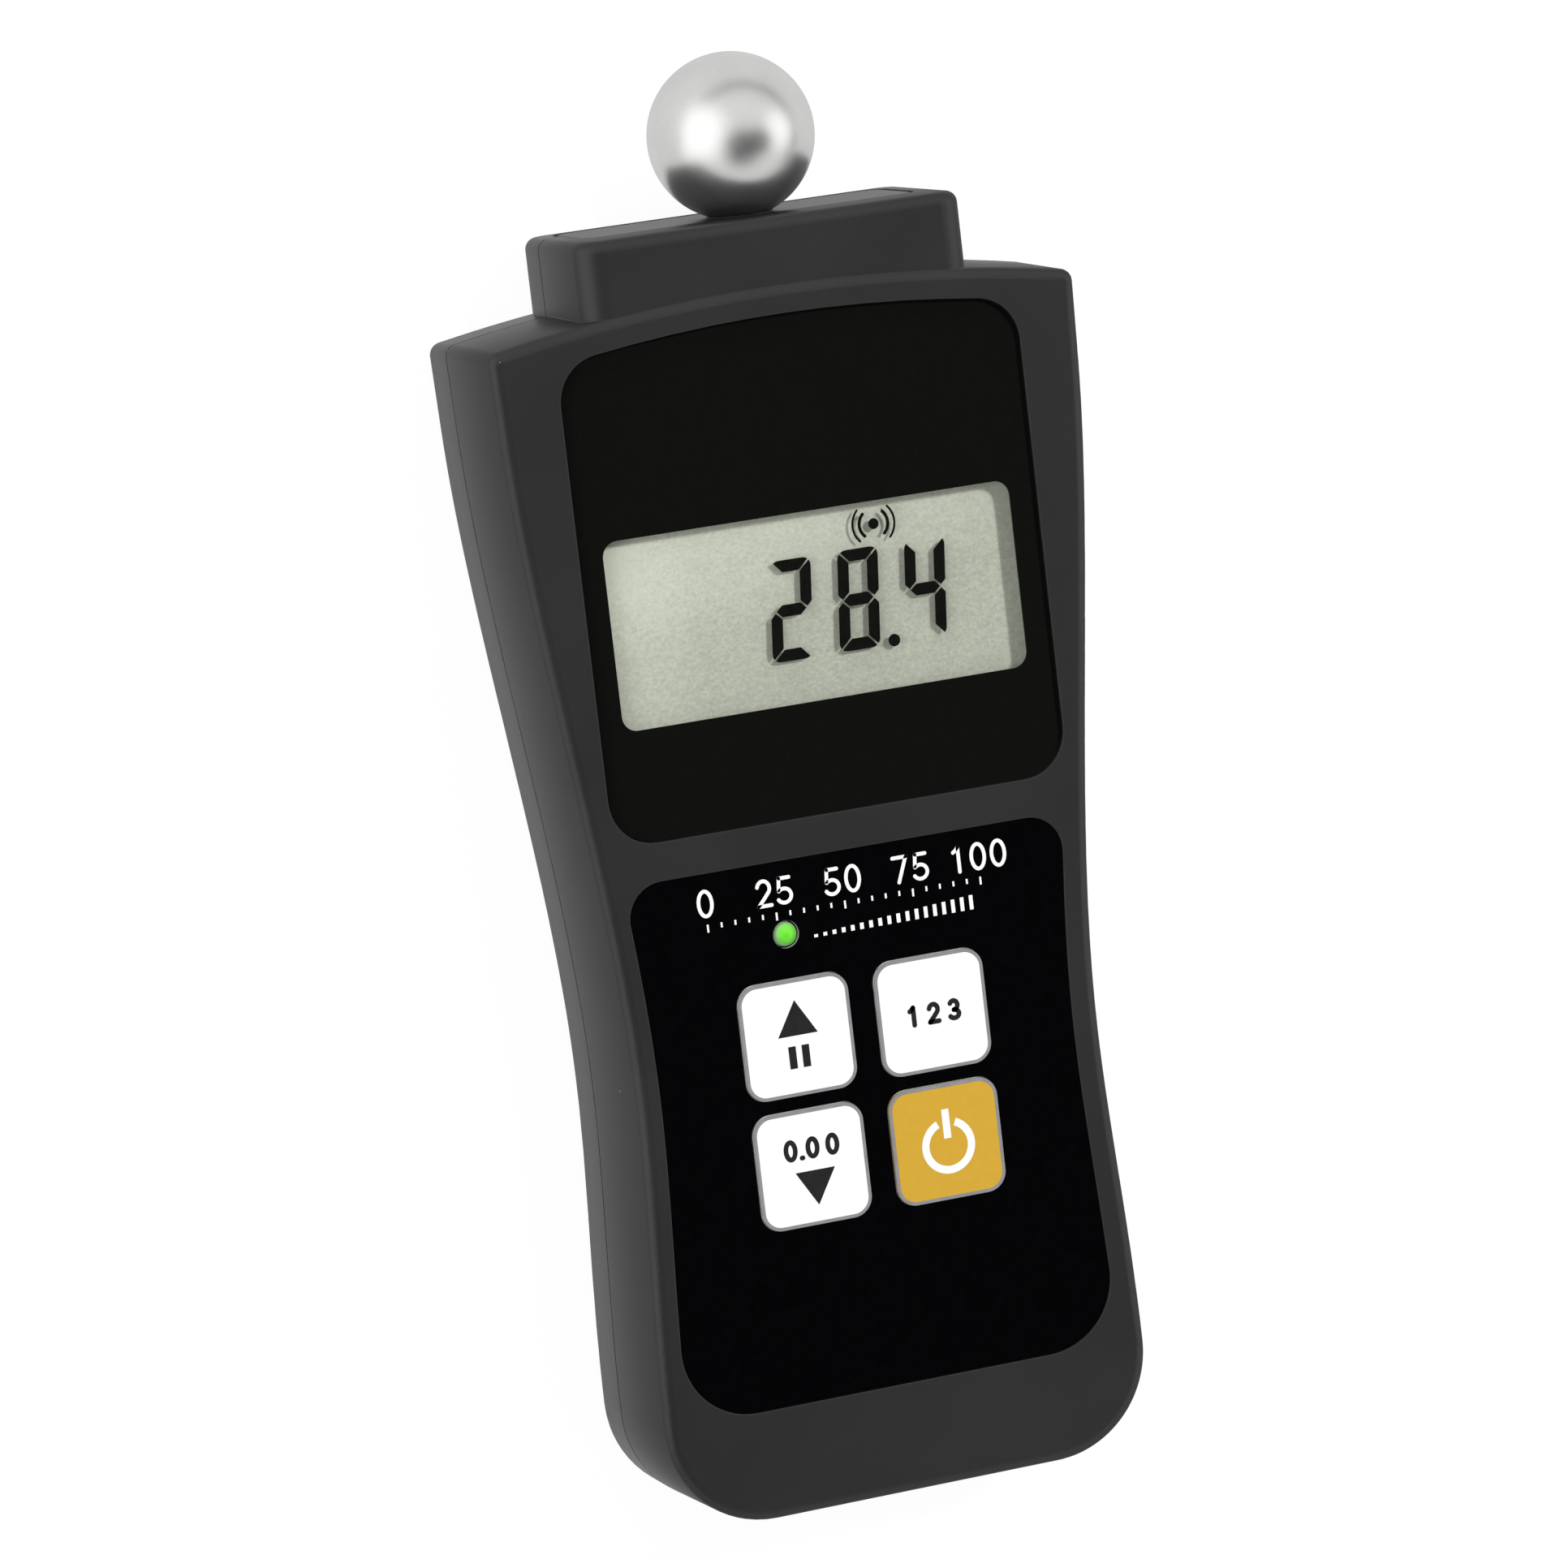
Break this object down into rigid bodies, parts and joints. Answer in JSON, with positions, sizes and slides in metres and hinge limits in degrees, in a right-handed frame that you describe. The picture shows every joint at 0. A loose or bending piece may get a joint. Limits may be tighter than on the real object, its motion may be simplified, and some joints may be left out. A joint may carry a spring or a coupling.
{
  "type": "material moisture meter",
  "caption": "Hand-held material moisture meter with a ball electrode, a liquid crystal display, a membrane keypad and a sliding battery door.",
  "frame": {"origin": "under the middle of the whole meter, on the plane of its flat back", "axes": "+Z out of the display, +Y along the meter towards the ball, +X to the right as seen from the front"},
  "size_m": [0.0746, 0.174, 0.0245],
  "materials": {
    "housing_plastic": "satin moulded black-grey plastic",
    "cap_plastic": "satin",
    "ball_metal": "satin turned metal",
    "stud_metal": "turned",
    "steel": "zinc plated",
    "insulator": "matt",
    "lens_acrylic": "clear, polished",
    "black_print": "gloss black print",
    "display_glass": "grey-green liquid crystal cell",
    "frame_plastic": "matt",
    "contact_rubber": "translucent elastomer",
    "board_laminate": "green solder resist",
    "keypad_print": "fine-textured black film",
    "keypad_sheet": "clear polyester sheet",
    "key_white": "fine-textured white film",
    "key_amber": "fine-textured amber film",
    "lamp_green": "clear tinted resin",
    "connector_plastic": "natural nylon",
    "chip_black": "moulded epoxy",
    "can_metal": "tinned sheet",
    "battery_case": "painted can",
    "foam": "closed-cell foam",
    "wire_sleeve": "pvc sleeve"
  },
  "bodies": {
    "meter": {"front_shell": "housing_plastic", "rear_shell": "housing_plastic", "end_cap": "cap_plastic", "ball_electrode": "ball_metal", "electrode_stud": "stud_metal", "insulating_bush": "insulator", "clamp_washer": "insulator", "solder_tag": "stud_metal", "electrode_nut": "stud_metal", "sensor_lead": "wire_sleeve", "display_lens": "lens_acrylic", "window_mask": "black_print", "lcd_frame": "frame_plastic", "lcd_cell": "display_glass", "contact_strips": "contact_rubber", "main_board": "board_laminate", "board_screws": "steel", "housing_screws": "steel", "keypad_film": "keypad_print", "keypad_spacer": "keypad_sheet", "keypad_circuit": "keypad_sheet", "level_lamp": "lamp_green", "tail_connector": "connector_plastic", "logic_chips": "chip_black", "crystal": "can_metal", "capacitors": "chip_black", "trimmers": "connector_plastic", "shield_can": "can_metal", "buzzer": "chip_black", "nine_volt_battery": "battery_case", "battery_snap": "insulator", "battery_leads": "wire_sleeve", "battery_foam": "foam"},
    "up_key": {"key_up": "key_white"},
    "select_key": {"key_select": "key_white"},
    "down_key": {"key_down": "key_white"},
    "power_key": {"key_power": "key_amber"},
    "door": {"battery_door": "housing_plastic"}
  },
  "joints": [
    {"name": "up_key_press", "type": "slide", "parent": "meter", "child": "up_key", "axis": [0, 0, -1], "range_m": [0, 0.00025], "stiffness_N_per_m": 4000},
    {"name": "select_key_press", "type": "slide", "parent": "meter", "child": "select_key", "axis": [0, 0, -1], "range_m": [0, 0.00025], "stiffness_N_per_m": 4000},
    {"name": "down_key_press", "type": "slide", "parent": "meter", "child": "down_key", "axis": [0, 0, -1], "range_m": [0, 0.00025], "stiffness_N_per_m": 4000},
    {"name": "power_key_press", "type": "slide", "parent": "meter", "child": "power_key", "axis": [0, 0, -1], "range_m": [0, 0.00025], "stiffness_N_per_m": 4000},
    {"name": "door_slide", "type": "slide", "parent": "meter", "child": "door", "axis": [0, -1, 0], "range_m": [0, 0.064]}
  ]
}
